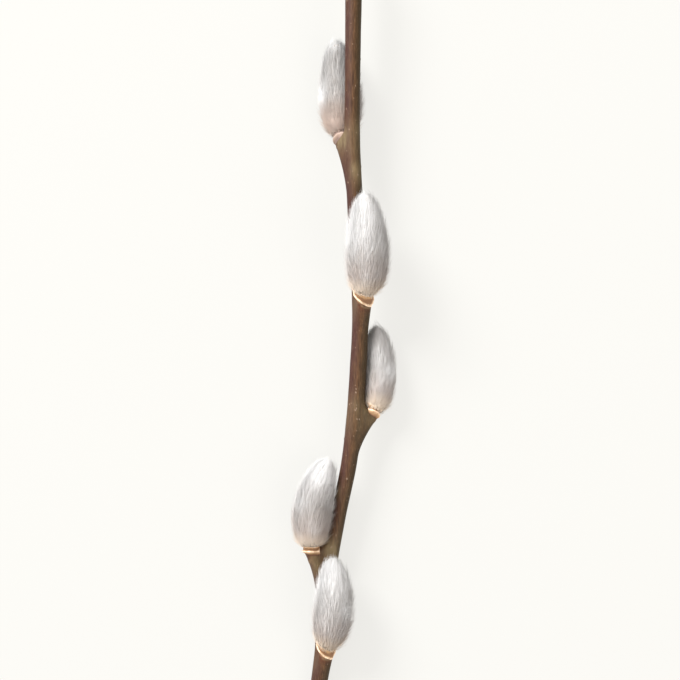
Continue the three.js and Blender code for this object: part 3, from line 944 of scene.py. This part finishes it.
# %% Dress the five catkins
pieces_of_catkins = []
for number, node in enumerate(NODES, 1):
    rows, rings, facts = silk_on(node, 100 + number)
    combed = lay_hairs(rows, rings, facts, GREYNESS[number - 1])
    hairs = link(bpy.data.objects.new(f"catkin_{number}_silk", combed))
    hairs.data.materials.append(silk)
    body_shape = core_mesh(node, *CORE_INSET, 32, 24)
    middle, along, out, side = (v[0] for v in catkin_frame(node, [0.0]))
    wide = PLUG_SIZE[0] * node["collar"]
    stretch = np.column_stack([side * wide, out * wide, along * PLUG_SIZE[1], middle]) * MM
    spot = Matrix([*stretch.tolist(), [0, 0, 0, 1]])
    bmesh.ops.create_uvsphere(body_shape, u_segments=24, v_segments=12, radius=1, matrix=spot)
    scales = scales_on(node)
    body_shape.from_mesh(scales)
    body = new_piece(f"catkin_{number}_body", body_shape, body_look)
    for piece in (hairs, body):
        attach(piece, "root")
        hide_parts(f"catkin_{number}")
        pieces_of_catkins.append(piece)
print("catkin triangles:", [count_triangles(p.data) for p in pieces_of_catkins])

# %% [markdown]
# ## The bud scales
# In winter one hood-like scale covers each bud. It has split and fallen, and what stays is a papery
# double collar, torn along its upper edge. Its section is a few points long, so spinning that
# section round makes the cup, and a little unevenness at the edge makes it torn. Where the catkin
# or the bark is in the way, the paper follows it.

# %% Note down the cups
CUP_STEPS = 90
PAPER_GAP = 0.06  # how far the paper is kept off the bark
FOOT_GAP = 0.02  # and its foot, which is grown on to the shoulder
# beak, side: how far the foot is drawn down, and towards which side in degrees. slope: tilt of the
# edge. flap: how far it stands up on the stem's side. tall: how high the torn edge is, as a share.
CUP_FORMS = [
    dict(beak=0.34, side=-65, slope=0.14, flap=0.3, tall=1.0),
    dict(beak=0.06, side=-150, slope=-0.08, flap=0.25, tall=1.5),
    dict(beak=0.15, side=-40, slope=0.1, flap=0.8, tall=1.25),
    dict(beak=0.4, side=-60, slope=0.18, flap=0.3, tall=1.0),
    dict(beak=0.1, side=-90, slope=0.0, flap=0.4, tall=1.0),
]
CUP_SECTION = [  # radius and height as shares of the collar's radius: up outside, down inside
    (0.86, -0.56), (0.91, -0.44), (0.94, -0.34), (0.98, -0.26), (1.04, -0.17), (1.05, -0.1),
    (0.99, -0.07), (0.94, -0.04), (0.92, 0.02), (0.93, 0.1), (0.96, 0.18), (1.01, 0.27),
    (1.05, 0.36), (1.04, 0.4), (0.99, 0.39), (0.94, 0.3), (0.89, 0.18), (0.85, 0.02),
    (0.81, -0.16), (0.77, -0.36), (0.74, -0.52),
]
print("points in a cup's section:", len(CUP_SECTION))


# %% Spin a cup
def cup_shape():
    """A cup of paper, as its section spun round its middle line."""
    shape = bmesh.new()
    corners = [shape.verts.new((r, 0, h)) for r, h in CUP_SECTION]
    edges = [shape.edges.new((a, b)) for a, b in zip(corners, corners[1:] + corners[:1])]
    bmesh.ops.spin(shape, geom=corners + edges, cent=(0, 0, 0), axis=(0, 0, 1), angle=TURN,
                   steps=CUP_STEPS, use_merge=True, use_duplicate=False)
    bmesh.ops.remove_doubles(shape, verts=shape.verts, dist=1e-4)
    bmesh.ops.recalc_face_normals(shape, faces=shape.faces)
    return shape


# %% Tear it and seat it
def steady_tree(shape):
    """A search tree of a bmesh. A new sphere's faces start at another corner in every run, which
    would split them along other diagonals, so they are put in a fixed order first."""
    shape.verts.index_update()
    corners = []
    for face in shape.faces:
        around = [v.index for v in face.verts]
        first = around.index(min(around))
        corners.append(around[first:] + around[:first])
    return BVHTree.FromPolygons([v.co for v in shape.verts], sorted(corners))


def seat_cup(node, number, shape):
    """Moves the cup on to its shoulder, tears its edge and keeps it clear of its neighbours."""
    rng = np.random.default_rng(40 + number)
    co = np.array([v.co for v in shape.verts])
    angle, r, h = np.arctan2(co[:, 1], co[:, 0]), np.hypot(co[:, 0], co[:, 1]), co[:, 2]
    waves, tears, crinkles = (
        sum(rng.normal(0, 1 / k**0.7) * np.sin(k * angle + rng.uniform(0, TURN)) for k in orders)
        for orders in (range(2, 6), range(5, 24), range(12, 44))
    )
    waves, tears, crinkles = (v / np.abs(v).max() for v in (waves, tears, crinkles))
    upper, lower = smooth((h - 0.1) / 0.3), np.exp(-(((h + 0.14) / 0.08) ** 2))
    foot = smooth((-0.22 - h) / 0.2)
    form = CUP_FORMS[number - 1]
    inner = (angle - math.pi / 2 + math.pi) % TURN - math.pi  # 0 on the side of the stem
    from_beak = abs((angle - math.radians(form["side"]) + math.pi) % TURN - math.pi)
    h = np.where(h > 0, h * form["tall"], h)
    h = h + (0.12 * waves + 0.07 * tears + form["flap"] * np.exp(-((inner / 0.8) ** 2))) * upper
    h -= form["beak"] * np.maximum(0, 1 - from_beak / 1.2) * smooth((0.12 - h) / 0.2) * (1 - foot)
    h += 0.05 * waves * lower - form["slope"] * np.cos(angle) * (1 - foot)
    r = r * (1 + 0.05 * waves * upper + 0.03 * tears * lower + 0.012 * crinkles * (1 - foot))
    along = catkin_frame(node, [0.0])[1]
    seat = np.array(node["seat"])
    lean = math.radians(node["lean"])
    out = seat - stem_frame(seat[None, 1])[0][0]
    out = unit(out - along[0] * (out @ along[0]))
    up = along[0] * math.cos(lean) + out * math.sin(lean)
    side = unit(np.cross(up, out))
    across = np.cross(up, side)
    places = seat + node["collar"] * (
        side * (r * np.cos(angle))[:, None] + across * (r * np.sin(angle))[:, None] + up * h[:, None]
    )
    silk_form = core_mesh(node, 0.95, 0.1, 40, 30)
    bmesh.ops.scale(silk_form, vec=(1 / MM,) * 3, verts=silk_form.verts)
    silk_tree = steady_tree(silk_form)
    places = press_out(places, silk_tree, 0.0)
    hug = smooth((co[:, 2] - 0.02) / 0.24)
    for k in np.flatnonzero(hug > 0):
        spot, normal, _, _ = silk_tree.find_nearest(Vector(places[k]), SEARCH)
        if spot is not None:
            wanted = spot + normal * (0.03 + 1.4 * max(0, math.hypot(co[k, 0], co[k, 1]) - 0.9))
            places[k] += (np.array(wanted) - places[k]) * hug[k] * 0.85
    places = press_out(places, stem_tree, PAPER_GAP)
    for k in np.flatnonzero(foot > 0):  # the foot is grown on to the shoulder
        spot, normal, _, _ = stem_tree.find_nearest(Vector(places[k]), SEARCH)
        if spot is not None:
            places[k] += (np.array(spot + normal * FOOT_GAP) - places[k]) * foot[k]
    for v, place in zip(shape.verts, places):
        v.co = Vector(place) * MM
    return co[:, 2], tears


# %% Make the paper and place the cups
scale_look, tree, shader = new_material("bud_scale_paper")  # dry husk, pale at its torn edge, with painted highlight on its lips and painted shade in the groove between them
pale_lip_and_highlight, groove_painted_shade, foot_mark, freshness = kept_on_mesh(tree, "husk")
fibres = stretched_noise(tree, 0.25, 1.2)
blots = stretched_noise(tree, 0.9, 0.9, w=2.0)
paper = coats(
    tree, linear("B9946A"),
    (linear("FFE6CC"), pale_lip_and_highlight),
    (linear("94704C"), (blots, 0.48, 0.62, 0.55)),
    (linear("B08B62"), (fibres, 0.45, 0.75, 0.55)),
    (linear("6B4628"), (groove_painted_shade, 0.2, 0.5, 0.85)),
    (linear("5E3A24"), foot_mark),
)
tone = coats(tree, linear("85736E"), (paper, freshness))
tree.links.new(tone, shader.inputs["Base Color"])
shader.inputs["Roughness"].default_value = 0.65
bump = add_node(tree, "Bump", {"Strength": 0.5, "Distance": 0.05 * MM, "Height": fibres})
tree.links.new(bump.outputs[0], shader.inputs["Normal"])
cups = []
for number, node in enumerate(NODES, 1):
    shape = cup_shape()
    height, tears = seat_cup(node, number, shape)
    cup = new_piece(f"bud_scale_{number}_paper", shape, scale_look)
    # Paler lips, partly painted highlight, and painted shade in the groove between them.
    lips_and_highlight = np.maximum(smooth((height - 0.18) / 0.16), np.exp(-(((height + 0.14) / 0.08) ** 2)))
    groove_shade = np.exp(-(((height - 0.04) / 0.09) ** 2)) * (0.75 + 0.25 * tears)
    fresh = 0.25 if number == 5 else 1.0  # the uppermost one has weathered
    store(cup.data, "husk", (lips_and_highlight, groove_shade, smooth((-0.24 - height) / 0.22), fresh))
    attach(cup, "root")
    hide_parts(f"bud_scale_{number}")
    cups.append(cup)
print("cup triangles:", [count_triangles(c.data) for c in cups])
